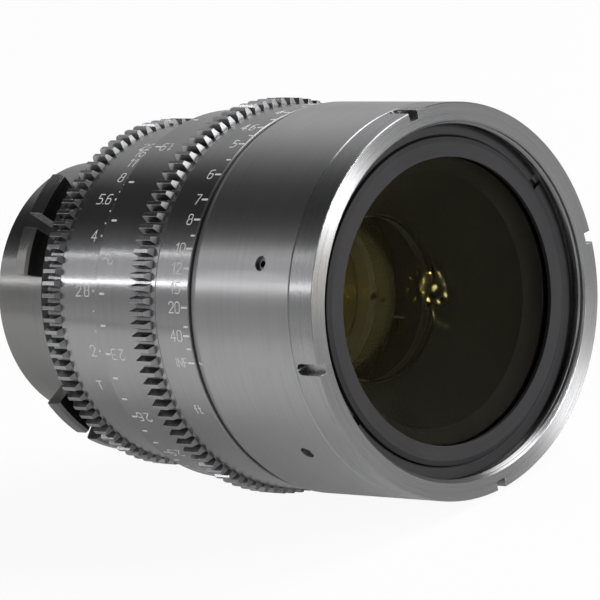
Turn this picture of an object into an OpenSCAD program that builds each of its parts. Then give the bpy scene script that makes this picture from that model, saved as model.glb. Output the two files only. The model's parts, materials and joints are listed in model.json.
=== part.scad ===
// Cinema prime lens with a four-lug breech mount, focus and iris gears and a working iris.
// Millimetres. Optical axis along Y, front towards -Y, +Z up, origin at the centre of the flange seat.
// Stations along the axis are called s and count forward from the flange seat.
// Angles around the axis count from +X towards +Z, as seen from the front.

/* [Front] */

// Outer diameter of the front ring and the front barrel
front_diameter = 80; // [79.5:0.5:84]
// Radial width of the front ring from the filter thread to its rim
front_wall = 4; // [3.5:0.1:5]
// Length of the front ring
front_ring_length = 6.7; // [6:0.1:8]
// Length of the fixed front barrel
front_barrel_length = 29.7; // [28.5:0.1:34]
// Depth of the filter thread with its run-out groove
filter_depth = 3.6; // [3:0.1:4.2]
// Width of the four notches in the front ring
notch_width = 2.4; // [1.5:0.1:4]
// Radial depth of the four notches in the front ring
notch_depth = 1.9; // [0.8:0.1:2.2]
// Diameter of the radial set screws in the front barrel
set_screw_diameter = 3; // [2:0.1:4]

/* [Barrel] */

// Outer radius of the fixed barrel on which both rings turn
barrel_radius = 32; // [29:0.1:35]
// Wall of the fixed barrel
barrel_wall = 2.5; // [2:0.1:3]
// Wall of the sleeve that turns with the focus ring
sleeve_wall = 2.95; // [2.5:0.05:3.3]

/* [Focus ring] */

// Module of the teeth on both rings
gear_module = 0.8; // [0.6:0.1:1]
// Length of the toothed part of the focus ring with its rear scale band
focus_ring_length = 19.8; // [19:0.1:24]
// Length of the teeth on the focus ring
focus_gear_width = 5.1; // [4:0.1:6]
// Length of the front scale ring
focus_scale_length = 10; // [9:0.1:13]
// Turn of the focus ring from infinity to the nearest distance
focus_throw = 272; // [180:1:280]
// Travel of the focus group for one full turn of the focus ring
focus_lead = 13.5; // [12.5:0.1:14]

/* [Iris ring] */

// Length of the iris ring
iris_ring_length = 16.6; // [16:0.1:20]
// Length of the teeth on the iris ring
iris_gear_width = 4.6; // [4:0.1:6]
// Turn of the iris ring from fully open to the smallest opening
iris_throw = 78; // [60:1:82]
// Turn of each iris blade over the whole throw
blade_turn = 25.2; // [22:0.1:25.5]
// Radius of the full iris opening
iris_open_radius = 11.7; // [11.4:0.1:12]
// Thickness of an iris blade
blade_thickness = 0.1; // [0.06:0.01:0.12]

/* [Mount] */

// Outer diameter of the tube that enters the camera
tube_diameter = 54; // [53.5:0.1:54.5]
// Wall of the tube
tube_wall = 2.5; // [2:0.1:3]
// Length of the tube behind the flange seat
tube_length = 13.3; // [12.5:0.1:18]
// Diameter over the four lugs
lug_diameter = 68; // [66:0.5:69]
// Thickness of the lugs
lug_thickness = 3.8; // [3:0.1:4.2]
// Angle that one lug covers
lug_angle = 40; // [34:1:44]
// Width of the locating slot in the middle of each lug
lug_slot_width = 3.3; // [2.5:0.1:4]
// Distance from the flange seat to the rear end of the iris ring
iris_start = 12; // [11.8:0.1:14]
// Thickness of the shim between the mount and the barrel
shim_thickness = 0.3; // [0.1:0.05:0.6]

/* [Fits] */

// Radial clearance of turning and sliding fits
running_clearance = 0.05; // [0.02:0.01:0.08]
// Axial gap between neighbouring rings that turn
ring_gap = 0.35; // [0.3:0.05:0.6]
// Gap between the focus scale ring and the front barrel
front_gap = 0.5; // [0.4:0.05:0.8]

/* [Hidden] */

$fn = 96;

blade_count = 9;
follower_count = 3;
mount_screw_count = 6;
set_screw_starts = [30, 150];

// Stations of the visible rings, counted forward from the flange seat
iris_end = iris_start + iris_ring_length;
index_start = iris_end + ring_gap;
index_end = index_start + 2;
focus_start = index_end + ring_gap;
scale_start = focus_start + focus_ring_length;
scale_end = scale_start + focus_scale_length;
front_start = scale_end + front_gap;
ring_start = front_start + front_barrel_length;
face = ring_start + front_ring_length;

// Radii of the visible rings
front_radius = front_diameter / 2;
filter_radius = front_radius - front_wall;
focus_teeth = round(2 * (barrel_radius + 8.8) / gear_module - 2);
focus_tip = gear_module * (focus_teeth + 2) / 2;
focus_root = focus_tip - 2.25 * gear_module;
focus_band = focus_root - 0.7;
focus_scale = focus_root + 0.5;
iris_teeth = round(2 * (barrel_radius + 4.4) / gear_module - 2);
iris_tip = gear_module * (iris_teeth + 2) / 2;
iris_root = iris_tip - 2.25 * gear_module;
iris_band = iris_root + 0.8;
index_radius = iris_band + 1.1;
gear_start = scale_start - 1.5 - focus_gear_width;

// Radii of the tube and of the rear group inside it
tube_radius = tube_diameter / 2;
tube_bore = tube_radius - tube_wall;
rear_radius = tube_bore - 6.5;
rear_front_radius = rear_radius - 2.8;

// Fixed main barrel and the sleeve that turns on it
barrel_bore = barrel_radius - barrel_wall;
ring_bore = barrel_radius + running_clearance;
sleeve_radius = ring_bore + sleeve_wall;
spigot_radius = sleeve_radius + 2;
bulkhead_start = iris_start - 3.5;
bulkhead_end = iris_start - ring_gap;
bulkhead_bore = rear_radius + 2.6;
bulkhead_radius = barrel_radius + 1.4;
barrel_end = front_start + 4.4;

// Focus travel and the cam followers
focus_travel = focus_lead * focus_throw / 360;
follower_diameter = 2.2;
groove_width = follower_diameter + 0.25;
groove_radius = sleeve_radius - 0.5;
follower_station = focus_start + 6.7;
guide_width = 3 + 2 * running_clearance;

// Focus group, held inside the barrel bore
cell_radius = barrel_bore - running_clearance;
cell_start = focus_start - 2.3;
cell_end = front_start + 3.9 - focus_travel;
cell_shoulder = cell_end - 5.5;
focus_waist = 15;
focus_front_radius = focus_waist + 1.6;
focus_rear_radius = focus_waist + 2.6;
focus_nose_radius = focus_front_radius + 4.4;
focus_rear_seat = cell_start + 9;
focus_rear_back = cell_start + 4.6;

// Iris stack, from the base plate forward
base_start = iris_start + 3;
base_face = base_start + 1.6;
blade_pitch = blade_thickness + 0.06;
blade_start = base_face + 0.1;
actuator_start = blade_start + blade_count * blade_pitch + 0.2;
actuator_end = actuator_start + 2.4;
cover_start = actuator_end + 0.25;
cover_end = cover_start + 1.25;
actuator_radius = barrel_bore - 1.1;
actuator_bore = barrel_bore - 7.9;
pivot_radius = barrel_bore - 5;
lever = 8.5;
lever_angle = -110;
stud_diameter = 0.8;
blade_outer = barrel_bore - 9;
blade_inner = iris_open_radius + 0.3;
drive_station = (actuator_start + actuator_end) / 2;
drive_angle = 240;

// Front cell
lip_radius = filter_radius - 7;
lip_edge = lip_radius + 4;
lip_front = face - 2.6;
pocket_radius = lip_radius + 1.4;
pocket_start = face - 9.5;
glass_edge = lip_front - 0.9;
glass_back = glass_edge - 3.2;
cell_land = ring_start - 12.3;
spigot_start = ring_start - 4.7;
front_bore = front_radius - front_wall + 0.8;
bevel_length = 2.3;
bevel_depth = 1;
thread_end = lip_front + 0.05;
retainer_front = face - filter_depth;
retainer_rear = retainer_front - 2.2;
retainer_radius = filter_radius - 1;
retainer_bore = lip_edge + 0.2;
ledge = retainer_front - 0.6;
run_out = 0.6;
second_seat = front_start + 10.4;
second_back = second_seat - 3.2;
front_cell_start = front_start + 5.3;
second_radius = 18.6;

// Mount
lug_radius = lug_diameter / 2;
base_radius = 29.2;
mount_bore = bulkhead_bore + 0.3;
mount_front = bulkhead_start - shim_thickness;
screw_circle = bulkhead_bore + 2;
screw_flange = mount_front - 3;

// Rear group
rear_step = bulkhead_start - 4;
rear_front_seat = base_start - 1.2;
rear_front_back = base_start - 5;
rear_end = -tube_length + 3.6;
rear_back = rear_end + 2.6;
rear_seat = rear_back + 4.4;
window_width = 31;
window_height = 22;

// One node name, or all of them

// Points the local +Z of its children along the optical axis towards the front
module on_axis() {
    rotate([90, 0, 0]) children();
}

// Solid of revolution from a list of radius and station pairs
module turned(profile) {
    on_axis() rotate_extrude() polygon(profile);
}

// Plain ring between two radii and two stations
module plain_ring(inner, outer, from, to) {
    turned([[inner, from], [outer, from], [outer, to], [inner, to]]);
}

// Copies of the children around the axis, the first one at the given angle
module around(count, first) {
    on_axis() for (k = [0 : count - 1]) rotate([0, 0, first + k * 360 / count]) children();
}

// Radial pin in the local frame of around
module radial_pin(diameter, from, to, station) {
    translate([from, 0, station]) rotate([0, 90, 0]) cylinder(d = diameter, h = to - from);
}

// Sector of a ring, swept from one angle by a turn
module ring_sector(inner, outer, from, to, first, sweep) {
    on_axis() rotate([0, 0, first]) rotate_extrude(angle = sweep)
        polygon([[inner, from], [outer, from], [outer, to], [inner, to]]);
}

// Outline of a gear with straight-flanked teeth
module gear_outline(teeth, tip, root) {
    pitch = 360 / teeth;
    flank = [[root, -0.38], [tip, -0.155], [tip, 0.155], [root, 0.38]];
    polygon([
        for (k = [0 : teeth - 1]) for (p = flank)
            [p[0] * cos((k + p[1]) * pitch), p[0] * sin((k + p[1]) * pitch)]
    ]);
}

// Band of teeth with bevelled rear ends and sloping front ends
module gear_band(teeth, tip, root, from, to) {
    intersection() {
        on_axis() translate([0, 0, from]) linear_extrude(height = to - from) gear_outline(teeth, tip, root);
        turned([
            [0, from], [tip - 0.3, from], [tip + 0.1, from + 0.4],
            [tip + 0.1, to - 0.6], [root + 0.6, to], [0, to]
        ]);
    }
}

function sag(curve, radius) = curve - sqrt(curve * curve - radius * radius);

// Bulging cap on one end of an element's edge cylinder
module glass_cap(clear, curve) {
    intersection() {
        translate([0, 0, sag(curve, clear) - curve]) sphere(r = curve);
        translate([0, 0, -0.5]) cylinder(r = clear, h = sag(curve, clear) + 1);
    }
}

// Hollow of an element, ground into one end of its edge cylinder
module glass_hollow(clear, curve) {
    translate([0, 0, curve - sag(curve, clear)]) sphere(r = curve);
}

// Element with a bulging front and a hollow rear, both inside the clear radius
module meniscus(radius, clear, rear, front, rear_curve, front_curve) {
    on_axis() difference() {
        union() {
            translate([0, 0, rear]) cylinder(r = radius, h = front - rear);
            translate([0, 0, front]) glass_cap(clear, front_curve);
        }
        translate([0, 0, rear]) mirror([0, 0, 1]) glass_hollow(clear, rear_curve);
    }
}

// Element with a hollow front and a bulging rear, both inside the clear radius
module rear_meniscus(radius, clear, rear, front, rear_curve, front_curve) {
    on_axis() difference() {
        union() {
            translate([0, 0, rear]) cylinder(r = radius, h = front - rear);
            translate([0, 0, rear]) mirror([0, 0, 1]) glass_cap(clear, rear_curve);
        }
        translate([0, 0, front]) glass_hollow(clear, front_curve);
    }
}

// Breech mount with tube, four slotted lugs and an inner flange for its screws
module mount() {
    color([0.62, 0.62, 0.63]) difference() {
        union() {
            turned([
                [tube_bore, -tube_length], [tube_radius - 0.4, -tube_length], [tube_radius, -tube_length + 0.4],
                [tube_radius, 0], [base_radius, 0], [base_radius, mount_front],
                [mount_bore, mount_front], [mount_bore, screw_flange], [tube_bore, screw_flange]
            ]);
            for (k = [0 : 3]) lug(45 + 90 * k);
        }
        around(4, 45) translate([tube_radius + 0.6, -lug_slot_width / 2, -1])
            cube([lug_radius, lug_slot_width, lug_thickness + 2]);
        around(mount_screw_count, 0) translate([screw_circle, 0, screw_flange - 1]) cylinder(d = 1.6, h = 6);
        around(mount_screw_count, 0) translate([screw_circle, 0, screw_flange - 1]) cylinder(d = 2.9, h = 2.6);
    }
}

// One lug of the mount with bevelled rims
module lug(angle) {
    on_axis() rotate([0, 0, angle - lug_angle / 2]) rotate_extrude(angle = lug_angle) polygon([
        [base_radius - 0.5, 0], [lug_radius - 0.4, 0], [lug_radius, 0.4],
        [lug_radius, lug_thickness - 0.6], [lug_radius - 0.6, lug_thickness], [base_radius - 0.5, lug_thickness]
    ]);
}

// Flat shim that sets the flange distance
module mount_shim() {
    color([0.75, 0.68, 0.45]) difference() {
        plain_ring(mount_bore, base_radius, mount_front, bulkhead_start);
        around(mount_screw_count, 0) translate([screw_circle, 0, mount_front - 1]) cylinder(d = 1.6, h = 3);
    }
}

// Screws that hold the mount on the barrel
module mount_screws() {
    color([0.3, 0.3, 0.32]) around(mount_screw_count, 0) translate([screw_circle, 0, 0]) {
        translate([0, 0, screw_flange + 0.2]) difference() {
            cylinder(d = 2.9, h = 1.4);
            translate([0, 0, -0.1]) cylinder(d = 1.3, h = 0.8, $fn = 6);
        }
        translate([0, 0, screw_flange + 1.6]) cylinder(d = 1.6, h = bulkhead_end - 0.6 - screw_flange - 1.6);
    }
}

// Fixed barrel that carries every other group
module main_barrel() {
    color([0.2, 0.2, 0.21]) difference() {
        turned([
            [bulkhead_bore, bulkhead_start], [bulkhead_radius, bulkhead_start], [bulkhead_radius, bulkhead_end],
            [barrel_radius, bulkhead_end], [barrel_radius, barrel_end], [barrel_bore, barrel_end],
            [barrel_bore, base_start], [bulkhead_bore, base_start]
        ]);
        around(follower_count, 90) guide_slot();
        around(mount_screw_count, 0) translate([screw_circle, 0, bulkhead_start - 1])
            cylinder(d = 1.6, h = bulkhead_end - bulkhead_start + 0.4);
        drive_window(barrel_bore - 0.5, barrel_radius + 1);
    }
}

// Straight slot that keeps a cam follower from turning
module guide_slot() {
    translate([barrel_bore - 1, -guide_width / 2, follower_station])
        cube([barrel_radius - barrel_bore + 2, guide_width, focus_travel]);
    radial_pin(guide_width, barrel_bore - 1, barrel_radius + 1, follower_station);
    radial_pin(guide_width, barrel_bore - 1, barrel_radius + 1, follower_station + focus_travel);
}

// Window that lets the iris drive pin swing
module drive_window(inner, outer) {
    ring_sector(inner, outer, drive_station - 1, drive_station + 1, drive_angle - 4, iris_throw + 8);
}

// Thin fixed ring with the index marks, between the focus ring and the iris ring
module index_ring() {
    color([0.55, 0.55, 0.56]) turned([
        [barrel_radius, index_start], [index_radius - 0.15, index_start], [index_radius, index_start + 0.15],
        [index_radius, index_end], [barrel_radius, index_end]
    ]);
}

// Fixed outer sleeve in front of the focus ring
module front_barrel() {
    color([0.55, 0.55, 0.56]) difference() {
        turned([
            [barrel_radius, front_start], [front_radius - bevel_depth, front_start],
            [front_radius, front_start + bevel_length], [front_radius, ring_start - 0.25],
            [front_radius - 0.25, ring_start], [front_bore, ring_start],
            [front_bore, barrel_end + 0.6], [barrel_bore + 0.5, barrel_end + 0.6],
            [barrel_bore + 0.5, barrel_end], [barrel_radius, barrel_end]
        ]);
        for (start = set_screw_starts) around(2, start)
            radial_pin(set_screw_diameter, front_bore - 1, front_radius + 1, ring_start - 8.9);
    }
}

// Set screws that clamp the front cell in the front barrel
module barrel_set_screws() {
    color([0.25, 0.25, 0.26]) for (start = set_screw_starts) around(2, start) difference() {
        radial_pin(set_screw_diameter, front_bore + 0.02, front_radius - 0.7, ring_start - 8.9);
        translate([front_radius - 1.9, 0, ring_start - 8.9]) rotate([0, 90, 0])
            cylinder(d = set_screw_diameter / 2, h = 2, $fn = 6);
    }
}

// Front ring with the filter thread and four notches
module front_ring() {
    notch_end = ring_start + 0.6 + notch_width / 2;
    color([0.68, 0.68, 0.69]) difference() {
        turned([
            [retainer_radius, spigot_start], [front_bore, spigot_start], [front_bore, ring_start],
            [front_radius - 0.25, ring_start], [front_radius, ring_start + 0.25], [front_radius, face - 0.2],
            [front_radius - 0.2, face], [filter_radius + 0.4, face], [filter_radius, face - 0.4],
            [filter_radius, thread_end], [filter_radius + run_out, thread_end],
            [filter_radius + run_out, ledge], [retainer_radius, ledge]
        ]);
        around(4, 0) {
            translate([front_radius - notch_depth, -notch_width / 2, notch_end])
                cube([notch_depth + 1, notch_width, front_ring_length]);
            radial_pin(notch_width, front_radius - notch_depth, front_radius + 1, notch_end);
        }
    }
}

// Black threaded ring with a flange and two spanner notches, which holds the front cell
module front_retaining_ring() {
    color([0.1, 0.1, 0.1]) difference() {
        turned([
            [retainer_bore, retainer_rear], [retainer_radius, retainer_rear],
            [retainer_radius, ledge], [filter_radius - 0.1, ledge],
            [filter_radius - 0.1, retainer_front - 0.2], [filter_radius - 0.3, retainer_front],
            [retainer_bore + 0.3, retainer_front], [retainer_bore, retainer_front - 0.3]
        ]);
        around(2, 25) translate([retainer_bore - 0.5, -1.2, retainer_front - 1.2]) cube([4, 2.4, 3]);
    }
}

// Black cell of the two fixed front elements
module front_cell() {
    color([0.12, 0.12, 0.12]) turned([
        [second_radius, front_cell_start], [second_radius + 5.4, front_cell_start],
        [pocket_radius - 1.9, second_seat + 2.5], [pocket_radius - 1.9, cell_land],
        [front_bore, cell_land], [front_bore, spigot_start],
        [retainer_radius, spigot_start], [retainer_radius, retainer_rear],
        [lip_edge, retainer_rear], [lip_edge, lip_front - 0.5],
        [lip_edge - 1, lip_front], [lip_radius, lip_front], [lip_radius, glass_edge],
        [pocket_radius, glass_edge], [pocket_radius, pocket_start], [pocket_radius - 3, pocket_start - 1.2],
        [second_radius - 1.6, second_seat + 1.2], [second_radius - 1.6, second_seat],
        [second_radius, second_seat]
    ]);
}

// Large front element
module front_element() {
    color([0.35, 0.4, 0.35, 0.5])
        meniscus(pocket_radius, lip_radius - 0.1, glass_back, glass_edge, 600, 500);
}

// Spacer ring that holds the front element against the lip
module front_element_retainer() {
    color([0.1, 0.1, 0.1]) turned([
        [pocket_radius - 4.6, pocket_start], [pocket_radius, pocket_start],
        [pocket_radius, glass_back], [pocket_radius - 1.4, glass_back]
    ]);
}

// Second fixed element, deep in the front cell
module second_element() {
    color([0.35, 0.4, 0.35, 0.5])
        meniscus(second_radius, second_radius - 2.1, second_back, second_seat, 60, 50);
}

// Threaded ring behind the second element
module second_element_retainer() {
    color([0.1, 0.1, 0.1]) plain_ring(second_radius - 2, second_radius, front_cell_start, second_back);
}

// Focus ring with its teeth and the rear scale band
module focus_ring() {
    color([0.55, 0.55, 0.56]) difference() {
        union() {
            turned([
                [sleeve_radius, focus_start], [focus_band - 0.2, focus_start], [focus_band, focus_start + 0.2],
                [focus_band, gear_start + 0.2], [focus_root, gear_start + 0.2], [focus_root, scale_start - 1.5],
                [focus_scale - 0.2, scale_start - 1.5], [focus_scale - 0.2, scale_start - 0.2],
                [focus_scale - 0.4, scale_start], [spigot_radius, scale_start],
                [spigot_radius, scale_start + 5.5], [sleeve_radius, scale_start + 5.5]
            ]);
            difference() {
                gear_band(focus_teeth, focus_tip, focus_root, gear_start, gear_start + focus_gear_width);
                on_axis() cylinder(r = spigot_radius, h = scale_start);
            }
        }
        around(3, 60) focus_screw_shape();
    }
}

// Hole for a flat-headed screw in the local frame of around
module focus_screw_shape() {
    radial_pin(2, barrel_radius + 1.2, spigot_radius, scale_start + 3);
    radial_pin(3.4, spigot_radius - 0.9, spigot_radius + 1, scale_start + 3);
}

// Screws that join the focus ring to the cam sleeve, covered by the scale ring
module focus_screws() {
    color([0.25, 0.25, 0.26]) around(3, 60) {
        radial_pin(2, barrel_radius + 1.2, spigot_radius - 0.9, scale_start + 3);
        difference() {
            radial_pin(3.4, spigot_radius - 0.9, spigot_radius - 0.1, scale_start + 3);
            translate([spigot_radius - 0.5, -2, scale_start + 2.75]) cube([1, 4, 0.5]);
        }
    }
}

// Front scale ring of the focus ring
module focus_scale_ring() {
    color([0.55, 0.55, 0.56]) turned([
        [spigot_radius, scale_start], [focus_scale - 0.25, scale_start], [focus_scale, scale_start + 0.25],
        [focus_scale, scale_end - 0.2], [focus_scale - 0.2, scale_end], [sleeve_radius, scale_end],
        [sleeve_radius, scale_start + 5.5], [spigot_radius, scale_start + 5.5]
    ]);
}

// Sleeve that turns with the focus ring and moves the focus group by three helical grooves
module cam_sleeve() {
    rise = focus_travel + groove_width + 0.5;
    color([0.72, 0.58, 0.3]) difference() {
        plain_ring(ring_bore, sleeve_radius, focus_start, scale_end);
        on_axis() rotate([0, 0, 90 + 360 * (groove_width + 0.5) / 2 / focus_lead])
            translate([0, 0, follower_station - groove_width / 2 - 0.25])
            linear_extrude(height = rise, twist = 360 * rise / focus_lead, slices = 44, $fn = 14)
            groove_sectors();
        around(3, 60) radial_pin(2, barrel_radius + 1.2, sleeve_radius + 1, scale_start + 3);
    }
}

// Section of the three grooves across the axis
module groove_sectors() {
    half = 180 * groove_width / focus_lead;
    for (k = [0 : follower_count - 1]) rotate(k * 360 / follower_count) polygon(concat(
        [for (t = [-1 : 0.4 : 1.01]) (barrel_radius - 1) * [cos(t * half), sin(t * half)]],
        [for (t = [1 : -0.4 : -1.01]) groove_radius * [cos(t * half), sin(t * half)]]
    ));
}

// Sliding cell of the focus group
module focus_cell() {
    color([0.12, 0.12, 0.12]) difference() {
        turned([
            [focus_rear_radius, cell_start], [cell_radius, cell_start], [cell_radius, cell_start + 2],
            [cell_radius - 0.6, cell_start + 2], [cell_radius - 0.6, follower_station - 2.5],
            [cell_radius, follower_station - 2.5], [cell_radius, follower_station + 2.5],
            [focus_nose_radius, follower_station + 5.5], [focus_nose_radius, cell_end],
            [focus_front_radius, cell_end],
            [focus_front_radius, cell_shoulder], [focus_waist, cell_shoulder],
            [focus_waist, focus_rear_seat], [focus_rear_radius, focus_rear_seat]
        ]);
        around(follower_count, 90) {
            radial_pin(2, cell_radius - 3.5, cell_radius, follower_station);
            radial_pin(3, cell_radius - 0.6, cell_radius + 1, follower_station);
        }
    }
}

// Front element of the focus group
module focus_front_element() {
    color([0.35, 0.4, 0.35, 0.5])
        meniscus(focus_front_radius, focus_waist - 0.1, cell_shoulder, cell_shoulder + 2.6, 70, 50);
}

// Threaded ring in front of the focus group
module focus_front_retainer() {
    color([0.1, 0.1, 0.1])
        plain_ring(focus_waist + 0.2, focus_front_radius, cell_shoulder + 2.6, cell_end - 0.2);
}

// Rear element of the focus group
module focus_rear_element() {
    color([0.35, 0.4, 0.35, 0.5])
        rear_meniscus(focus_rear_radius, focus_waist - 0.1, focus_rear_back, focus_rear_seat, 50, 60);
}

// Threaded ring behind the focus group
module focus_rear_retainer() {
    color([0.1, 0.1, 0.1]) plain_ring(focus_waist + 0.8, focus_rear_radius, cell_start + 0.3, focus_rear_back);
}

// Shouldered studs of the cam followers
module follower_studs() {
    color([0.6, 0.6, 0.62]) around(follower_count, 90) {
        radial_pin(2, cell_radius - 3.5, cell_radius - 0.6, follower_station);
        radial_pin(3, cell_radius - 0.6, barrel_radius - 0.05, follower_station);
        radial_pin(1.2, barrel_radius - 0.05, groove_radius - 0.35, follower_station);
    }
}

// Rollers of the cam followers
module follower_rollers() {
    color([0.8, 0.7, 0.4]) around(follower_count, 90) difference() {
        radial_pin(follower_diameter, barrel_radius - 0.05, groove_radius - 0.4, follower_station);
        radial_pin(1.2, barrel_radius - 1, groove_radius + 1, follower_station);
    }
}

// Iris ring with its teeth and the aperture scale band
module iris_ring() {
    teeth_end = iris_start + iris_gear_width;
    color([0.55, 0.55, 0.56]) difference() {
        union() {
            turned([
                [ring_bore, iris_start], [iris_root, iris_start], [iris_root, teeth_end],
                [iris_band - 0.3, teeth_end], [iris_band - 0.3, teeth_end + 1.5],
                [iris_band, teeth_end + 1.7], [iris_band, iris_end - 0.2],
                [iris_band - 0.2, iris_end], [ring_bore, iris_end]
            ]);
            difference() {
                gear_band(iris_teeth, iris_tip, iris_root, iris_start, teeth_end);
                on_axis() cylinder(r = iris_root - 1, h = iris_end);
            }
        }
        around(1, drive_angle) radial_pin(2.5, barrel_radius - 1, iris_tip, drive_station);
    }
}

// Screw pin that carries the turn of the iris ring to the actuator
module iris_drive_pin() {
    color([0.25, 0.25, 0.26]) around(1, drive_angle) {
        radial_pin(1.5, actuator_radius - 1, ring_bore + 0.3, drive_station);
        difference() {
            radial_pin(2.5, ring_bore + 0.3, iris_band - 0.5, drive_station);
            translate([iris_band - 1.1, -2, drive_station - 0.25]) cube([2, 4, 0.5]);
        }
    }
}

function turn_by(angle, p) = [p[0] * cos(angle) - p[1] * sin(angle), p[0] * sin(angle) + p[1] * cos(angle)];

// Place of a blade's drive stud when the blade has turned by a part of its range
function stud_place(part) = [pivot_radius, 0] + turn_by(lever_angle + part * blade_turn, [lever, 0]);

// The same place as the turned actuator sees it
function slot_point(part) = turn_by(-part * iris_throw, stud_place(part));

function slot_normal(part) =
    let (d = slot_point(part + 0.01) - slot_point(part - 0.01))
    [-d[1], d[0]] / norm(d);

// Outline of a cam slot along the path of one drive stud
module slot_outline() {
    half = stud_diameter / 2 + 0.1;
    steps = [for (t = [-0.015 : 0.0515 : 1.016]) t];
    last = len(steps) - 1;
    polygon(concat(
        [for (i = [0 : last]) slot_point(steps[i]) + half * slot_normal(steps[i])],
        [for (i = [last : -1 : 0]) slot_point(steps[i]) - half * slot_normal(steps[i])]
    ));
}

// Cam ring whose slots turn the nine blades
module iris_actuator() {
    color([0.35, 0.35, 0.36]) difference() {
        plain_ring(actuator_bore, actuator_radius, actuator_start, actuator_end);
        around(blade_count, 0) translate([0, 0, actuator_start - 1]) linear_extrude(height = 5) slot_outline();
        around(1, drive_angle) radial_pin(1.5, actuator_radius - 1, actuator_radius + 1, drive_station);
    }
}

// Fixed plate with the blade pivots and a rim round the actuator
module iris_base() {
    rim_bore = actuator_radius + running_clearance;
    color([0.15, 0.15, 0.15]) difference() {
        turned([
            [iris_open_radius, base_start], [barrel_bore, base_start], [barrel_bore, cover_start],
            [rim_bore, cover_start], [rim_bore, base_face], [iris_open_radius, base_face]
        ]);
        around(blade_count, 0) translate([pivot_radius, 0, base_start + 0.3])
            cylinder(d = stud_diameter + 2 * running_clearance, h = 3);
        drive_window(actuator_radius - 1, barrel_bore + 1);
    }
}

// Cover ring over the iris stack
module iris_cover() {
    color([0.12, 0.12, 0.12]) plain_ring(iris_open_radius + 1.5, barrel_bore, cover_start, cover_end);
}

// Outline of one blade with its pivot ear and its drive lever
module blade_outline() {
    difference() {
        intersection() {
            circle(r = blade_outer);
            polygon([[0, 0], 60 * [cos(-3), sin(-3)], 60 * [cos(58), sin(58)], 60 * [cos(118), sin(118)]]);
        }
        circle(r = blade_inner);
    }
    translate([blade_inner + 3, -0.6]) square([pivot_radius - blade_inner - 3, 2.8]);
    translate([pivot_radius, 0]) circle(r = 1.5);
    translate([pivot_radius, 0]) rotate(lever_angle) translate([0, -0.9]) square([lever, 1.8]);
    translate(stud_place(0)) circle(r = 0.9);
}

// Iris blade with a pivot stud to the rear and a drive stud to the front
module iris_blade(number) {
    station = blade_start + (number - 1) * blade_pitch;
    color([0.22, 0.22, 0.24]) on_axis() rotate([0, 0, (number - 1) * 360 / blade_count]) {
        translate([0, 0, station]) linear_extrude(height = blade_thickness) blade_outline();
        translate([pivot_radius, 0, base_start + 0.5])
            cylinder(d = stud_diameter, h = station + blade_thickness - base_start - 0.5);
        translate([stud_place(0)[0], stud_place(0)[1], station])
            cylinder(d = stud_diameter, h = actuator_end - 0.3 - station);
    }
}

// Cell of the fixed rear group
module rear_cell() {
    color([0.12, 0.12, 0.12]) turned([
        [rear_radius, rear_end], [rear_radius + 2.2, rear_end],
        [rear_radius + 2.2, bulkhead_start], [bulkhead_bore, bulkhead_start],
        [bulkhead_bore, base_start - 0.4], [rear_front_radius - 2, base_start - 0.4],
        [rear_front_radius - 2, rear_front_seat], [rear_front_radius, rear_front_seat],
        [rear_front_radius, rear_step], [rear_radius, rear_step]
    ]);
}

// Front element of the rear group
module rear_front_element() {
    color([0.35, 0.4, 0.35, 0.5])
        rear_meniscus(rear_front_radius, rear_front_radius - 2.1, rear_front_back, rear_front_seat, 50, 45);
}

// Spacer tube between the two rear elements
module rear_spacer() {
    color([0.1, 0.1, 0.1]) turned([
        [rear_radius - 2, rear_seat], [rear_radius, rear_seat], [rear_radius, rear_step],
        [rear_front_radius, rear_step], [rear_front_radius, rear_front_back],
        [rear_front_radius - 1, rear_front_back], [rear_front_radius - 1, rear_step - 1]
    ]);
}

// Rear element of the rear group
module rear_element() {
    color([0.35, 0.4, 0.35, 0.5])
        rear_meniscus(rear_radius, rear_radius - 2.1, rear_back, rear_seat, 80, 90);
}

// Threaded ring behind the rear group
module rear_retainer() {
    color([0.1, 0.1, 0.1]) plain_ring(rear_radius - 2, rear_radius, rear_end + 0.2, rear_back);
}

// Plate with a rectangular window at the end of the tube
module rear_baffle() {
    color([0.1, 0.1, 0.1]) difference() {
        plain_ring(0, tube_bore, -tube_length + 0.5, -tube_length + 1.5);
        translate([-window_width / 2, tube_length - 2, -window_height / 2])
            cube([window_width, 4, window_height]);
    }
}

mount();
mount_shim();
mount_screws();
main_barrel();
index_ring();
front_barrel();
barrel_set_screws();
front_ring();
front_retaining_ring();
front_cell();
front_element();
front_element_retainer();
second_element();
second_element_retainer();
focus_ring();
focus_scale_ring();
cam_sleeve();
focus_screws();
focus_cell();
focus_front_element();
focus_front_retainer();
focus_rear_element();
focus_rear_retainer();
follower_studs();
follower_rollers();
iris_ring();
iris_drive_pin();
iris_actuator();
iris_base();
iris_cover();
iris_blade(1);  // iris_blade_1
iris_blade(2);  // iris_blade_2
iris_blade(3);  // iris_blade_3
iris_blade(4);  // iris_blade_4
iris_blade(5);  // iris_blade_5
iris_blade(6);  // iris_blade_6
iris_blade(7);  // iris_blade_7
iris_blade(8);  // iris_blade_8
iris_blade(9);  // iris_blade_9
rear_cell();
rear_front_element();
rear_spacer();
rear_element();
rear_retainer();
rear_baffle();
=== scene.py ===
import json
import math

import bpy
from mathutils import Matrix, Vector


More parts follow.
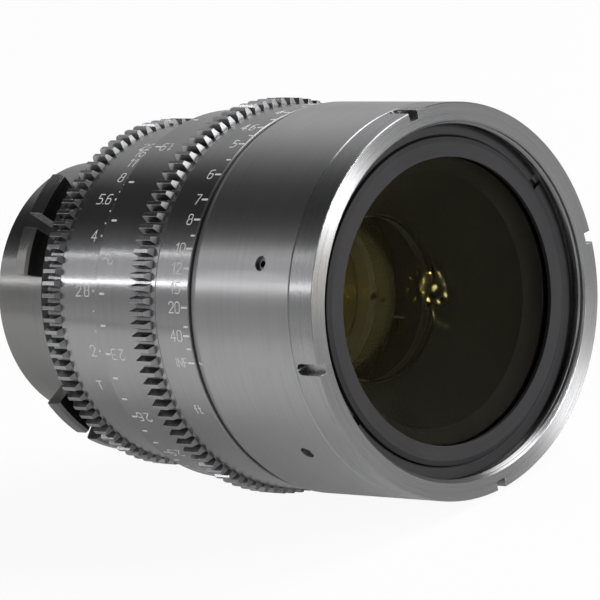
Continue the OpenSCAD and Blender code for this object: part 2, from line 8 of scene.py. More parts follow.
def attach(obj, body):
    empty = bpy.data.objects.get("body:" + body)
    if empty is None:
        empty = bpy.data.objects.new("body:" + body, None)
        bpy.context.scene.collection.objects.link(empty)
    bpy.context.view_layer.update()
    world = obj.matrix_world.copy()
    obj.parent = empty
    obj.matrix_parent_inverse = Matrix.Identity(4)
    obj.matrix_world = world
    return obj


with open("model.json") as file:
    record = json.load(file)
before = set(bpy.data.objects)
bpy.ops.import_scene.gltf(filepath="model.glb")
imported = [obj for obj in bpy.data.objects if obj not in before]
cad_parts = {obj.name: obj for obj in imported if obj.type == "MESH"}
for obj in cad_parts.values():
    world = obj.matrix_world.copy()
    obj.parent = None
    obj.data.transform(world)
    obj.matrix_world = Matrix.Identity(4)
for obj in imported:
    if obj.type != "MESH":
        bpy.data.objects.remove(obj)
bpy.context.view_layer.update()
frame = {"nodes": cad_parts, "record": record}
nodes = frame["nodes"]
MM = 0.001


# Objects of the scene


def add_object(name, data):
    made = bpy.data.objects.new(name, data)
    bpy.context.scene.collection.objects.link(made)
    return made


def add_mesh(name, points, faces, material):
    mesh = bpy.data.meshes.new(name)
    mesh.from_pydata(points, [], faces)
    mesh.validate()
    mesh.materials.append(material)
    return add_object(name, mesh)


def standing(place, x, y, z):
    """The matrix of an object at a place, with these directions as its own axes."""
    matrix = Matrix((x, y, z)).transposed().to_4x4()
    matrix.translation = place
    return matrix


# Shader helpers

EDGE_LIKENESS = (0.86, 0.985)  # likeness of the rounded and the plain normal, from edge to face
GRAIN_HEIGHT = 0.02 * MM  # of the finest grooves and grains


class Shader:
    """A node material with short helpers for building its network."""

    def __init__(self, name):
        self.material = bpy.data.materials.new(name)
        self.material.use_nodes = True
        self.tree = self.material.node_tree
        self.bsdf = self.tree.nodes["Principled BSDF"]
        self.output = self.tree.nodes["Material Output"]

    def node(self, kind, **settings):
        made = self.tree.nodes.new(kind)
        for key, value in settings.items():
            setattr(made, key, value)
        return made

    def link(self, source, target):
        self.tree.links.new(source, target)

    def put(self, node, socket, value):
        """Gives a socket a plain value, or links another node's output to it."""
        if isinstance(value, bpy.types.NodeSocket):
            self.link(value, node.inputs[socket])
        else:
            node.inputs[socket].default_value = value

    def set(self, **values):
        """Gives the Principled shader's sockets their values, with _ for each space."""
        for key, value in values.items():
            self.put(self.bsdf, key.replace("_", " "), value)

    def surface(self, share, first, second):
        """Makes the surface a mix of two shaders, with this share of the second."""
        mixer = self.node("ShaderNodeMixShader")
        self.put(mixer, 0, share)
        self.link(first.outputs[0], mixer.inputs[1])
        self.link(second.outputs[0], mixer.inputs[2])
        self.link(mixer.outputs[0], self.output.inputs["Surface"])

    def math(self, operation, a, b=0.0):
        made = self.node("ShaderNodeMath", operation=operation)
        self.put(made, 0, a)
        self.put(made, 1, b)
        return made.outputs[0]

    def weighted(self, *terms):
        """The sum of (value, weight) terms."""
        total = None
        for value, weight in terms:
            term = self.math("MULTIPLY", value, weight)
            total = term if total is None else self.math("ADD", total, term)
        return total

    def coordinates(self):
        return self.node("ShaderNodeTexCoord").outputs["Object"]

    def round_axis(self, coordinates):
        """Station along the optical axis, radius and angle round it."""
        parts = self.node("ShaderNodeSeparateXYZ")
        self.link(coordinates, parts.inputs[0])
        x, y, z = parts.outputs
        square = self.math("ADD", self.math("MULTIPLY", x, x), self.math("MULTIPLY", z, z))
        return y, self.math("SQRT", square), self.math("ARCTAN2", z, x)

    def noise(self, vector, scale, detail=2.0, rough=0.5):
        made = self.node("ShaderNodeTexNoise")
        self.link(vector, made.inputs["Vector"])
        self.put(made, "Scale", scale)
        self.put(made, "Detail", detail)
        self.put(made, "Roughness", rough)
        return made.outputs["Fac"]

    def turning_lines(self, place, across, around, detail=2.0, rough=0.5):
        """Noise that is fine across the turned surface and drawn out around it."""
        station, radius, angle = place
        stretched = self.node("ShaderNodeCombineXYZ")
        self.put(stretched, "X", self.math("MULTIPLY", station, across))
        self.put(stretched, "Y", self.math("MULTIPLY", radius, across))
        self.put(stretched, "Z", self.math("MULTIPLY", angle, around))
        return self.noise(stretched.outputs[0], 1.0, detail, rough)

    def span(self, value, low, high, source=(0.3, 0.7)):
        """The value with the source range stretched to run from low to high."""
        made = self.node("ShaderNodeMapRange")
        self.put(made, "Value", value)
        self.put(made, "From Min", source[0])
        self.put(made, "From Max", source[1])
        self.put(made, "To Min", low)
        self.put(made, "To Max", high)
        return made.outputs[0]

    def ramp(self, value, *stops):
        made = self.node("ShaderNodeValToRGB")
        fill_ramp(made.color_ramp, stops)
        self.link(value, made.inputs[0])
        return made.outputs["Color"]

    def blend(self, factor, a, b, kind="MIX"):
        made = self.node("ShaderNodeMix", data_type="RGBA", blend_type=kind)
        self.put(made, 0, factor)
        self.put(made, 6, a)
        self.put(made, 7, b)
        return made.outputs[2]

    def rounded_edges(self, radius):
        """A normal that rounds off sharp edges by a radius in mm."""
        made = self.node("ShaderNodeBevel", samples=4)
        self.put(made, "Radius", radius * MM)
        return made.outputs[0]

    def plain_normal(self):
        return self.node("ShaderNodeNewGeometry").outputs["Normal"]

    def wear_and_highlight_edges(self, rounded_normal):
        """1 along edges, 0 on plain faces."""
        likeness = self.node("ShaderNodeVectorMath", operation="DOT_PRODUCT")
        self.link(rounded_normal, likeness.inputs[0])
        self.link(self.plain_normal(), likeness.inputs[1])
        return self.span(likeness.outputs["Value"], 1.0, 0.0, EDGE_LIKENESS)

    def facing_axis(self):
        """1 on faces that look along the optical axis, 0 on those that look away from it."""
        parts = self.node("ShaderNodeSeparateXYZ")
        self.link(self.plain_normal(), parts.inputs[0])
        return self.math("ABSOLUTE", parts.outputs["Y"])

    def bump(self, height, strength, normal=None):
        made = self.node("ShaderNodeBump")
        self.put(made, "Strength", strength)
        self.put(made, "Distance", GRAIN_HEIGHT)
        self.link(height, made.inputs["Height"])
        if normal is not None:
            self.link(normal, made.inputs["Normal"])
        self.link(made.outputs[0], self.bsdf.inputs["Normal"])


def fill_ramp(ramp, stops):
    """Gives a colour ramp its stops: (place, colour)."""
    while len(ramp.elements) < len(stops):
        ramp.elements.new(0.5)
    for element, (place, color) in zip(ramp.elements, stops):
        element.position = place
        element.color = (*color, 1.0)


def shade(color, factor):
    return tuple(min(1.0, c * factor) for c in color)


# Materials

CREVICE_REACH = 1.6 * MM  # how near another face darkens a metal one
END_FACING = (0.3, 0.8)  # the normal's share along the axis, from side to end face
HOLLOW_RADIUS = 30.2 * MM  # the hollow behind the front glass lies within this radius
HOLLOW_FRONT = -94.45 * MM  # and behind this station
GLASS_IOR = 1.52
GLASS_BODY = (0.99, 0.99, 0.97)


def turned_metal(name, color, roughness, anisotropic=0.6, grain=0.06, bump=0.05,
                 rounding=0.16, crevice=0.3, wear=0.7, ends=0.0, face=1.0):
    """Lathe-turned metal: fine grooves, soft blotches, painted shade in crevices, softened edges
    lightened partly as wear and partly as a painted highlight.

    Faces that look along the axis are rougher by ends, and their colour is multiplied by face as
    a painted shade.
    """
    s = Shader(name)
    coordinates = s.coordinates()
    place = s.round_axis(coordinates)
    fine = s.turning_lines(place, across=5200, around=2.2, detail=3.0, rough=0.65)
    streak = s.turning_lines(place, across=900, around=1.1)
    cloud = s.noise(coordinates, scale=55.0, detail=3.0)
    mixed = s.weighted((fine, 0.5), (streak, 0.3), (cloud, 0.2))
    tone = s.ramp(mixed, (0.36, shade(color, 1 - grain)), (0.5, color),
                  (0.64, shade(color, 1 + grain)))
    edge = s.rounded_edges(rounding)
    # Edges are lightened partly as wear and partly as a painted highlight; wear sets how much.
    wear_and_highlight = s.math("MULTIPLY", s.wear_and_highlight_edges(edge), s.span(cloud, 0.5 * wear, wear))
    tone = s.blend(wear_and_highlight, tone, (*shade(color, 2.0), 1.0))
    # Painted shade: ambient occlusion darkens the colour in crevices and gaps, down to crevice
    # where faces come closest.
    hollow = s.node("ShaderNodeAmbientOcclusion", samples=4)
    s.put(hollow, "Distance", CREVICE_REACH)
    painted_crevice_shade = s.ramp(hollow.outputs["AO"], (0.25, (crevice,) * 3), (0.85, (1.0,) * 3))
    tone = s.blend(1.0, tone, painted_crevice_shade, "MULTIPLY")
    dull = s.span(s.weighted((fine, 0.6), (cloud, 0.4)), roughness - 0.03, roughness + 0.03)
    # Painted shade: faces that look along the axis are darkened by face.
    if face != 1.0:
        painted_end_face_shade = s.blend(1.0, tone, (face, face, face, 1.0), "MULTIPLY")
        tone = s.blend(s.span(s.facing_axis(), 0.0, 1.0, END_FACING), tone, painted_end_face_shade)
    if ends:
        dull = s.math("ADD", dull, s.span(s.facing_axis(), 0.0, ends, END_FACING))
    s.bump(s.weighted((fine, 1.0), (streak, 0.4)), bump, edge)
    tangent = s.node("ShaderNodeTangent", direction_type="RADIAL", axis="Y")
    s.set(Base_Color=tone, Roughness=dull, Tangent=tangent.outputs[0], Metallic=1.0,
          Anisotropic=anisotropic, Anisotropic_Rotation=0.25)
    return s.material


def anodised(name, color, roughness, speckle=0.25, gloss=0.5, hollow=None, relief=0.06, edge_wear_and_highlight=3.5):
    """Black anodised metal: a matt grain, faint turning lines, edges lightened by a factor,
    partly as wear and partly as a painted highlight.

    In the hollow behind the front glass, its colour is hollow where that is given: the interior's
    black paint, darkened further as a painted shade.
    """
    s = Shader(name)
    coordinates = s.coordinates()
    place = s.round_axis(coordinates)
    grains = s.noise(coordinates, scale=9000.0)
    lines = s.turning_lines(place, across=2600, around=1.5)
    cloud = s.noise(coordinates, scale=90.0, detail=3.0)
    mixed = s.weighted((grains, 0.4), (lines, 0.35), (cloud, 0.25))

    def speckled(black):
        return s.ramp(mixed, (0.35, shade(black, 1 - speckle)), (0.65, shade(black, 1 + speckle)))

    tone = speckled(color)
    # Painted shade over the black paint inside the hollow behind the front glass.
    if hollow is not None:
        station, radius, _ = place
        within = s.math("MULTIPLY", s.math("LESS_THAN", radius, HOLLOW_RADIUS),
                        s.math("GREATER_THAN", station, HOLLOW_FRONT))
        tone = s.blend(within, tone, speckled(hollow))
    edge = s.rounded_edges(0.14)
    # Edges lightened partly as wear and partly as a painted highlight.
    wear_and_highlight = s.math("MULTIPLY", s.wear_and_highlight_edges(edge), s.span(cloud, 0.25, 0.6))
    s.bump(s.weighted((grains, 1.0), (lines, 0.6)), relief, edge)
    s.set(Base_Color=s.blend(wear_and_highlight, tone, (*shade(color, edge_wear_and_highlight), 1.0)),
          Roughness=s.span(mixed, roughness - 0.07, roughness + 0.07), Specular_IOR_Level=gloss)
    return s.material


def coated_glass(name, tint, shine=1.0):
    """Polished optical glass with a trace of dust.

    Its coating tints the reflection, and leaves only the share of it that shine gives.
    """
    s = Shader(name)
    coordinates = s.coordinates()
    dust = s.noise(coordinates, scale=2400.0, detail=3.0, rough=0.7)
    haze = s.noise(coordinates, scale=40.0)
    s.set(Base_Color=s.ramp(haze, (0.3, shade(GLASS_BODY, 0.97)), (0.7, GLASS_BODY)),
          Roughness=s.span(dust, 0.0, 0.004, (0.62, 0.8)),
          Transmission_Weight=1.0, IOR=GLASS_IOR, Specular_Tint=(*tint, 1.0))
    if shine < 1.0:
        clear = s.node("ShaderNodeBsdfRefraction")
        s.put(clear, "Color", (*GLASS_BODY, 1.0))
        s.put(clear, "Roughness", 0.0)
        s.put(clear, "IOR", GLASS_IOR)
        s.surface(shine, clear, s.bsdf)
    return s.material


def engraved_paint(name, color):
    """Matt paint wiped into an engraving, slightly uneven."""
    s = Shader(name)
    wear = s.noise(s.coordinates(), scale=3200.0, detail=3.0, rough=0.7)
    s.bump(wear, 0.1)
    s.set(Base_Color=s.ramp(wear, (0.3, shade(color, 0.9)), (0.6, color)),
          Roughness=s.span(wear, 0.45, 0.6))
    return s.material


# Finishes of the record's material slots
finish = {
    "satin_grey": turned_metal("satin_grey", (0.34, 0.34, 0.344), 0.18, anisotropic=0.8,
                               crevice=0.4, wear=0.35, ends=0.35),
    # Its end faces get a painted shade through face.
    "turned_grey": turned_metal("turned_grey", (0.36, 0.36, 0.364), 0.28, anisotropic=0.93,
                                grain=0.10, bump=0.08, face=0.62),
    "mount_steel": turned_metal("mount_steel", (0.24, 0.238, 0.234), 0.24, crevice=0.4),
    "black_metal": anodised("black_metal", (0.03, 0.03, 0.031), 0.42),
    "coated_glass": coated_glass("coated_glass", (0.5, 0.5, 0.2)),
    "bearing_brass": turned_metal("bearing_brass", (0.55, 0.40, 0.16), 0.25, anisotropic=0.4),
    "screw_steel": turned_metal("screw_steel", (0.20, 0.20, 0.21), 0.28, anisotropic=0.3),
    "cam_metal": turned_metal("cam_metal", (0.30, 0.30, 0.31), 0.3, anisotropic=0.5),
    "blade_steel": anodised("blade_steel", (0.045, 0.045, 0.05), 0.38),
}
paint = engraved_paint("scale_paint", (0.88, 0.88, 0.87))

# Nodes whose finish departs from their slot's
# cell_black and barrel_black are darker inside the hollow behind the front glass, as painted
# shade.
cell_black = anodised("cell_black", (0.022, 0.022, 0.023), 0.6, gloss=0.08,
                      hollow=(0.002, 0.002, 0.002), relief=0.015)
special = {
    "front_barrel": turned_metal("brushed_grey", (0.38, 0.38, 0.384), 0.33, anisotropic=0.85,
                                 grain=0.08, bump=0.06),
    "main_barrel": anodised("barrel_black", (0.03, 0.03, 0.031), 0.5, gloss=0.2,
                            hollow=(0.006, 0.006, 0.006)),
    "front_element": coated_glass("front_glass", (0.5, 0.44, 0.15), shine=0.15),
    "second_element": coated_glass("second_glass", (0.85, 0.75, 0.12), shine=0.24),
    "front_cell": cell_black,
    "front_element_retainer": cell_black,
    # Its edges are lightened strongly, as painted highlight lines.
    "second_element_retainer": anodised("rim_black", (0.022, 0.022, 0.023), 0.5, gloss=0.2,
                                        relief=0.015, edge_wear_and_highlight=16.0),
    "front_retaining_ring": anodised("ring_black", (0.015, 0.015, 0.016), 0.5, gloss=0.15),
    "focus_cell": cell_black,
    "rear_cell": cell_black,
}

for part in frame["record"]["subparts"]:
    name = part["node"]
    data = nodes[name].data
    data.materials.clear()
    data.materials.append(special[name] if name in special else finish[part["material_slot"]])


# Scale marks: thin strokes with round ends, laid on a turned surface

# Each glyph: its width and its strokes of corners (x, y, radius), for a height of 1
GLYPHS = {
    "0": (0.6, [[(0, 0, .24), (.6, 0, .24), (.6, 1, .24), (0, 1, .24), "closed"]]),
    "1": (0.35, [[(0, .8, 0), (.25, 1, 0), (.25, 0, 0)]]),
    "2": (0.62, [[(0, .78, 0), (0, 1, .2), (.6, 1, .24), (.6, .6, .2), (0, 0, 0), (.62, 0, 0)]]),
    "3": (0.6, [[(0, 1, 0), (.57, 1, .2), (.57, .53, .16), (.16, .53, 0)],
                [(.42, .53, 0), (.6, .53, .14), (.6, 0, .22), (0, 0, 0)]]),
    "4": (0.68, [[(.48, 0, 0), (.48, 1, 0), (0, .3, 0), (.68, .3, 0)]]),
    "5": (0.6, [[(.57, 1, 0), (.05, 1, 0), (.03, .57, 0),
                 (.6, .57, .22), (.6, 0, .22), (0, 0, 0)]]),
    "6": (0.6, [[(.54, 1, 0), (0, 1, .26), (0, 0, .22),
                 (.6, 0, .22), (.6, .57, .2), (.02, .57, 0)]]),
    "7": (0.6, [[(0, 1, 0), (.6, 1, .05), (.2, 0, 0)]]),
    "8": (0.6, [[(0, 0, .2), (.6, 0, .2), (.6, .53, .18), (0, .53, .18), "closed"],
                [(.04, .53, .16), (.56, .53, .16), (.56, 1, .18), (.04, 1, .18), "closed"]]),
    "9": (0.6, [[(.06, 0, 0), (.6, 0, .26), (.6, 1, .22),
                 (0, 1, .22), (0, .43, .2), (.58, .43, 0)]]),
    ".": (0.08, [[(.04, 0, 0), (.04, .02, 0)]]),
    "I": (0.1, [[(.05, 0, 0), (.05, 1, 0)]]),
    "N": (0.62, [[(0, 0, 0), (0, 1, 0), (.62, 0, 0), (.62, 1, 0)]]),
    "F": (0.5, [[(0, 0, 0), (0, 1, 0), (.5, 1, 0)], [(0, .53, 0), (.42, .53, 0)]]),
    "T": (0.7, [[(0, 1, 0), (.7, 1, 0)], [(.35, 1, 0), (.35, 0, 0)]]),
    "f": (0.4, [[(.4, 1, 0), (.16, 1, .14), (.16, 0, 0)], [(0, .64, 0), (.36, .64, 0)]]),
    "t": (0.38, [[(.14, 1, 0), (.14, 0, .14), (.38, 0, 0)], [(0, .64, 0), (.36, .64, 0)]]),
}
SPACING = 0.22  # between glyphs
ARC_STEPS = 7
STROKE_STEP = 0.5  # longest straight step of a stroke, mm
CAP_ANGLES = [math.radians(a) for a in (6, 30, 60)]
DOT_LENGTH = 0.04  # a dot is a very short stroke, mm
MARK_HEIGHT = 0.015  # mm above the surface
MARK_DEPTH = 0.05  # mm below it


def across(direction):
    return Vector((-direction.y, direction.x))


def rounded(points):
    """The path whose corners (x, y, radius) are replaced by arcs, and whether it is closed."""
    closed = points[-1] == "closed"
    corners = [Vector(p[:2]) for p in points if p != "closed"]
    radii = [p[2] for p in points if p != "closed"]
    count = len(corners)
    path = []
    for i, corner in enumerate(corners):
        if radii[i] == 0 or (not closed and i in (0, count - 1)):
            path.append(corner)
            continue
        before = (corners[i - 1] - corner).normalized()
        after = (corners[(i + 1) % count] - corner).normalized()
        half = before.angle(after) / 2
        reach = radii[i] / math.tan(half)
        centre = corner + (before + after).normalized() * radii[i] / math.sin(half)
        first = corner + before * reach - centre
        turn = first.angle_signed(corner + after * reach - centre)
        for k in range(ARC_STEPS + 1):
            angle = -turn * k / ARC_STEPS
            path.append(centre + Matrix.Rotation(angle, 2) @ first)
    if closed:
        path.append(path[0].copy())
    return path, closed


class Marks:
    """Collects strokes as thin closed ribbons on one turned surface."""

    def __init__(self, surface):
        self.surface = surface
        self.points = []
        self.faces = []

    def stroke(self, path, width, closed=False):
        """path: places (station, arc) in mm on the unrolled surface."""
        dense = [path[0]]
        for a, b in zip(path, path[1:]):
            pieces = max(1, math.ceil((b - a).length / STROKE_STEP))
            dense += [a.lerp(b, (k + 1) / pieces) for k in range(pieces)]
        dense = [p for i, p in enumerate(dense) if i == 0 or (p - dense[i - 1]).length > 1e-6]
        half = width / 2
        sections = []
        count = len(dense)
        for i, p in enumerate(dense):
            back = dense[i - 1] if i else (dense[-2] if closed else p)
            ahead = dense[i + 1] if i < count - 1 else (dense[1] if closed else p)
            arriving = (p - back).normalized() if (p - back).length else (ahead - p).normalized()
            leaving = (ahead - p).normalized() if (ahead - p).length else arriving
            side = across((arriving + leaving).normalized())
            stretch = 1 / max(0.5, side.dot(across(arriving)))
            sections.append((p, side * half * stretch))
        if closed:
            sections = sections[:-1]
        else:
            start = (dense[1] - dense[0]).normalized()
            end = (dense[-1] - dense[-2]).normalized()
            head = [(dense[0] - start * half * math.cos(a), across(start) * half * math.sin(a))
                    for a in CAP_ANGLES]
            tail = [(dense[-1] + end * half * math.cos(a), across(end) * half * math.sin(a))
                    for a in reversed(CAP_ANGLES)]
            sections = head + sections + tail
        self.ribbon(sections, closed)

    def ribbon(self, sections, closed):
        """A ribbon of four sides through sections (middle, half width)."""
        base = len(self.points)
        for p, side in sections:
            for place, height in ((p + side, MARK_HEIGHT), (p - side, MARK_HEIGHT),
                                  (p - side, -MARK_DEPTH), (p + side, -MARK_DEPTH)):
                self.points.append(self.surface(place.x, place.y, height))
        total = len(sections)
        for i in range(total if closed else total - 1):
            a, b = base + 4 * i, base + 4 * ((i + 1) % total)
            for k in range(4):
                m = (k + 1) % 4
                self.faces.append((a + k, a + m, b + m, b + k))
        if not closed:
            self.faces.append((base + 3, base + 2, base + 1, base))
            last = base + 4 * (total - 1)
            self.faces.append((last, last + 1, last + 2, last + 3))

    def tick(self, station, arc, length, width):
        self.stroke([Vector((station - length / 2, arc)), Vector((station + length / 2, arc))],
                    width)

    def dot(self, station, arc, diameter):
        self.tick(station, arc, DOT_LENGTH, diameter)

    def label(self, text, station, arc, size, width, turned=False, align="end"):
        """Text along the axis: read from rear to front, or turned by half a turn."""
        advance = sum(GLYPHS[c][0] + SPACING for c in text) - SPACING
        x = {"end": -advance, "middle": -advance / 2}[align]
        scale = -size if turned else size
        for c in text:
            wide, strokes = GLYPHS[c]
            for points in strokes:
                path, closed = rounded(points)
                self.stroke([Vector((station + (x + p.x) * scale, arc + (p.y - 0.5) * scale))
                             for p in path], width, closed)
            x += wide + SPACING

    def build(self, name, body):
        made = add_mesh(name, self.points, self.faces, paint)
        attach(made, body)


def on_cylinder(radius):
    """Unrolled surface: station forward, arc upward from the line on the left-hand side."""
    def place(station, arc, height):
        angle = math.pi - arc / radius
        r = radius + height
        return (r * math.cos(angle) * MM, -station * MM, r * math.sin(angle) * MM)
    return place


def on_bevel(start_radius, start_station, rise):
    """The front barrel's rear bevel, which widens towards the front."""
    lean = math.atan(rise)

    def place(station, arc, height):
        angle = math.pi - arc / start_radius
        r = start_radius + (station - start_station) * rise + height * math.cos(lean)
        y = height * math.sin(lean) - station
        return (r * math.cos(angle) * MM, y * MM, r * math.sin(angle) * MM)
    return place


def arc_at(radius, angle):
    return math.radians(180 - angle) * radius


def focus_angle(feet):
    """Turn of the focus ring from infinity to a distance, in degrees."""
    return 322 / (feet - 0.47)


def feet_text(feet):
    """A distance as whole feet, or as feet and inches with a point between them."""
    whole, inches = divmod(round(feet * 12), 12)
    return f"{whole}.{inches}" if inches else f"{whole}"


NAMED_FEET = (40, 20, 15, 12, 10, 8, 7, 6, 5, 4.5, 4, 3.5, 3, 2.75, 2.5, 2.25, 2, 1.75)
PLAIN_FEET = (75, 30, 9, 5.5, 4.75, 4.25, 3.75, 3.25, 2.875, 2.625, 2.375, 2.125, 1.917, 1.833,
              1.667)
NEAREST_INCHES = 20
EVERY_INCH_TO = 36
FIGURES = {"size": 2.2, "width": 0.22}
INFINITY = {"size": 1.9, "width": 0.2}
FRONT_TICK = {"length": 1.5, "width": 0.42}
FRONT_SMALL_TICK = {"length": 1.0, "width": 0.38}
REAR_TICK = {"length": 1.2, "width": 0.45}
REAR_FIRST_TICK = {"length": 1.2, "width": 0.42}

SCALE_RADIUS = 39.5
front_scale = Marks(on_cylinder(SCALE_RADIUS))
front_scale.tick(60.0, 0.0, **FRONT_TICK)
front_scale.label("INF", 58.7, 0.0, **INFINITY)
for feet in NAMED_FEET:
    arc = arc_at(SCALE_RADIUS, 180 - focus_angle(feet))
    front_scale.tick(60.0, arc, **FRONT_TICK)
    front_scale.label(feet_text(feet), 58.6, arc, **FIGURES)
for feet in PLAIN_FEET:
    front_scale.tick(60.2, arc_at(SCALE_RADIUS, 180 - focus_angle(feet)), **FRONT_SMALL_TICK)
front_scale.label("ft", 56.8, arc_at(SCALE_RADIUS, 195.5), size=1.9, width=0.22, align="middle")
front_scale.build("focus_front_scale", "focus_ring")

BAND_RADIUS = 38.3
REAR_LABELS = 34.5
REAR_TICKS = 33.4
rear_scale = Marks(on_cylinder(BAND_RADIUS))
rear_scale.tick(33.3, arc_at(BAND_RADIUS, 360), **REAR_FIRST_TICK)
rear_scale.label("INF", REAR_LABELS, arc_at(BAND_RADIUS, 360), turned=True, **INFINITY)
every_inch = [inch / 12 for inch in range(NEAREST_INCHES, EVERY_INCH_TO + 1)]
for feet in every_inch + [feet for feet in NAMED_FEET if feet > EVERY_INCH_TO / 12]:
    arc = arc_at(BAND_RADIUS, 360 - focus_angle(feet))
    rear_scale.tick(REAR_TICKS, arc, **REAR_TICK)
    if feet in NAMED_FEET:
        rear_scale.label(feet_text(feet), REAR_LABELS, arc, turned=True, **FIGURES)
rear_scale.build("focus_rear_scale", "focus_ring")

IRIS_RADIUS = 35.4
STOPS = (("2", 180.0), ("2.8", 159.7), ("4", 141.1), ("5.6", 127.5), ("8", 118.3),
         ("11", 111.2), ("16", 105.8), ("22", 102.0))
STOPS_IN_THIRDS = 4
IRIS_DOTS = 27.4
iris_scale = Marks(on_cylinder(IRIS_RADIUS))
for index, (text, angle) in enumerate(STOPS):
    arc = arc_at(IRIS_RADIUS, angle)
    iris_scale.dot(IRIS_DOTS, arc, 0.55)
    iris_scale.label(text, 26.0, arc, size=2.3, width=0.24)
    if index < STOPS_IN_THIRDS:
        step = (STOPS[index + 1][1] - angle) / 3
        for third in (1, 2):
            iris_scale.dot(IRIS_DOTS, arc_at(IRIS_RADIUS, angle + step * third), 0.4)
iris_scale.label("T", 23.6, arc_at(IRIS_RADIUS, 192.9), size=2.0, width=0.26, align="middle")
iris_scale.build("iris_scale", "iris_ring")

BEVEL_RADIUS = 39.0
focus_index = Marks(on_bevel(BEVEL_RADIUS, start_station=61.6, rise=1 / 2.3))
for angle in (180.0, 0.0):
    focus_index.tick(62.75, arc_at(BEVEL_RADIUS, angle), length=1.6, width=0.45)
focus_index.build("focus_index", "body")


# Filter thread: a ridge that winds along the wall of the front ring

THREAD_STEPS = 160  # in one turn
THREAD_FADE = 20  # steps over which the ridge rises at each end
THREAD_SUNK = 0.06  # mm into the wall


def filter_thread(name, radius, depth, pitch, start, end):
    """A ridge from one station to the other; its profile is (out, share of the pitch)."""
    profile = ((THREAD_SUNK, -0.46), (-depth * 0.85, -0.07), (-depth, 0.0),
               (-depth * 0.85, 0.07), (THREAD_SUNK, 0.46))
    count = int((end - start) / pitch * THREAD_STEPS)
    points, faces = [], []
    for i in range(count + 1):
        angle = 2 * math.pi * i / THREAD_STEPS
        station = start + pitch * i / THREAD_STEPS
        fade = min(1.0, i / THREAD_FADE, (count - i) / THREAD_FADE)
        for out, along in profile:
            r = radius + (out if out > 0 else out * fade)
            y = -(station + along * pitch)
            points.append((r * math.cos(angle) * MM, y * MM, r * math.sin(angle) * MM))
    wide = len(profile)
    for i in range(count):
        a, b = i * wide, (i + 1) * wide
        for k in range(wide):
            m = (k + 1) % wide
            faces.append((a + k, b + k, b + m, a + m))
    faces.append(tuple(range(wide)))
    faces.append(tuple(reversed(range(count * wide, count * wide + wide))))
    made = add_mesh(name, points, faces, finish["turned_grey"])
    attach(made, "body")


filter_thread("filter_thread_ridge", radius=36.0, depth=0.34, pitch=0.75, start=95.8, end=97.25)


# Floor

FLOOR_STEPS = 8
FLOOR_SEEN = 0.93  # share of plain white that the camera sees
FLOOR_MIRRORED = 0.2  # and that metal and glass show


def plain_floor(size, level):
    """A white floor that keeps a little of the object's shadow."""
    places = [size * (i / FLOOR_STEPS - 0.5) for i in range(FLOOR_STEPS + 1)]
    points = [(x, y, level) for y in places for x in places]
    row = FLOOR_STEPS + 1
    corners = [j * row + i for j in range(FLOOR_STEPS) for i in range(FLOOR_STEPS)]
    faces = [(c, c + 1, c + row + 1, c + row) for c in corners]
    s = Shader("floor_white")
    s.set(Base_Color=(0.9, 0.9, 0.9, 1.0), Roughness=0.9, Specular_IOR_Level=0.2)
    ray = s.node("ShaderNodeLightPath").outputs
    mirrored = s.math("MAXIMUM", ray["Is Glossy Ray"], ray["Is Transmission Ray"])
    seen = s.math("MAXIMUM", s.math("MULTIPLY", ray["Is Camera Ray"], FLOOR_SEEN),
                  s.math("MULTIPLY", mirrored, FLOOR_MIRRORED))
    glow = s.node("ShaderNodeEmission")
    s.put(glow, "Strength", 1.0)
    s.surface(seen, s.bsdf, glow)
    add_mesh("floor", points, faces, s.material)


plain_floor(size=12.0, level=-0.0409)


# Studio light

WHITE = (1.0, 1.0, 1.0)
COOL = (0.97, 0.95, 1.0)
WARM = (1.0, 0.86, 0.35)
FRONT_CENTRE = Vector((0.0, -0.098, 0.0))
ALONG_AXIS = Vector((0.0, 1.0, 0.0))


def area_lamp(name, shape, size, power, color):
    """An area lamp that the camera doesn't see."""
    lamp = bpy.data.lights.new(name, "AREA")
    lamp.shape = shape
    lamp.size = size
    lamp.energy = power
    lamp.color = color
    made = add_object(name, lamp)
    made.visible_camera = False
    return made


def panel(name, angle, distance, width, power, color=WHITE, along=0.65, length=1.5):
    """A long lamp parallel to the optical axis, at an angle round it, facing it."""
    made = area_lamp(name, "RECTANGLE", width, power, color)
    made.data.size_y = length
    turn = math.radians(angle)
    out = Vector((math.cos(turn), 0.0, math.sin(turn)))
    made.matrix_world = standing(out * distance + ALONG_AXIS * along,
                                 ALONG_AXIS.cross(out), ALONG_AXIS, out)


def softbox(name, place, size, power, shape="SQUARE", color=WHITE, spread=180):
    """A lamp that faces the front of the lens."""
    made = area_lamp(name, shape, size, power, color)
    made.data.spread = math.radians(spread)
    made.location = place
    made.rotation_euler = (FRONT_CENTRE - Vector(place)).to_track_quat("-Z", "Y").to_euler()


panel("strip_high", angle=137.0, distance=0.75, width=0.016, power=0.32)
panel("strip_low", angle=154.5, distance=0.75, width=0.016, power=0.68)
panel("soft_between", angle=146.5, distance=0.8, width=0.22, power=0.45, color=COOL)
softbox("soft_front", (0.95, -2.9, 0.5), size=0.75, power=105.0)
softbox("soft_axis", (-0.05, -3.1, 0.12), size=0.5, power=12.0)
softbox("soft_key", (1.4, -1.4, 2.4), size=1.6, power=50.0)

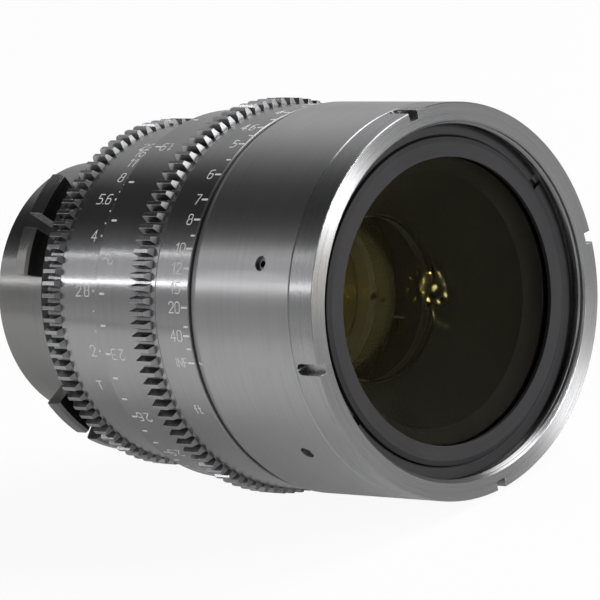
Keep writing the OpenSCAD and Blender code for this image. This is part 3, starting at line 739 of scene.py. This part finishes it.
# A ring of small lamps close to the front glass, which mirrors it as a ring of points
RING_POINTS = 8
RING_RADIUS = 0.0036
RING_LAMP = {"shape": "DISK", "color": WARM, "spread": 44}
ring_centre = Vector((0.0398, -0.1441, -0.0118))
ring_axis = Vector((0.534, -0.803, -0.263)).normalized()
ring_side = ring_axis.cross(Vector((0.0, 0.0, 1.0))).normalized()
ring_top = ring_side.cross(ring_axis)
for k in range(RING_POINTS):
    turn = 2 * math.pi * k / RING_POINTS
    out = ring_side * math.cos(turn) + ring_top * math.sin(turn)
    softbox(f"ring_point_{k + 1}", ring_centre + out * RING_RADIUS,
            size=0.0011, power=0.00003, **RING_LAMP)
softbox("ring_point_centre", ring_centre, size=0.0015, power=0.00007, **RING_LAMP)

# Brightness of the studio's walls at angles round the optical axis, in degrees
WALLS = ((-180, 0.6), (0, 0.5), (60, 0.5), (72, 0.26), (80, 0.14), (88, 0.055), (112, 0.055),
         (122, 0.11), (134, 0.26), (150, 0.42), (167, 0.44), (174, 0.55), (180, 0.6))
WALL_TINT = (1.0, 1.0, 1.01)


def studio_walls():
    world = bpy.data.worlds.new("studio")
    bpy.context.scene.world = world
    world.use_nodes = True
    made, links = world.node_tree.nodes, world.node_tree.links
    split = made.new("ShaderNodeSeparateXYZ")
    links.new(made.new("ShaderNodeTexCoord").outputs["Generated"], split.inputs[0])
    angle = made.new("ShaderNodeMath")
    angle.operation = "ARCTAN2"
    links.new(split.outputs["Z"], angle.inputs[0])
    links.new(split.outputs["X"], angle.inputs[1])
    share = made.new("ShaderNodeMapRange")
    share.inputs["From Min"].default_value = -math.pi
    share.inputs["From Max"].default_value = math.pi
    links.new(angle.outputs[0], share.inputs["Value"])
    walls = made.new("ShaderNodeValToRGB")
    fill_ramp(walls.color_ramp, [((degrees + 180) / 360, [level * c for c in WALL_TINT])
                                 for degrees, level in WALLS])
    links.new(share.outputs[0], walls.inputs[0])
    links.new(walls.outputs["Color"], made["Background"].inputs["Color"])


studio_walls()


# Camera, as fitted to the outlines of the rings in the photo

camera_place = Vector((-0.75489, -0.92962, 0.29276))
camera_aim = Vector((0.0, -0.058, 0.0))
camera_up = Vector((0.31399, 0.0, 0.94943))
camera = add_object("camera", bpy.data.cameras.new("camera"))
ahead = (camera_aim - camera_place).normalized()
right = ahead.cross(camera_up).normalized()
camera.matrix_world = standing(camera_place, right, right.cross(ahead), -ahead)
camera.data.sensor_width = 36.0
camera.data.lens = 348.43
camera.data.shift_x = -0.0364
camera.data.shift_y = -0.0055
camera.data.clip_end = 50.0
bpy.context.scene.camera = camera
bpy.context.scene.view_settings.view_transform = "Standard"
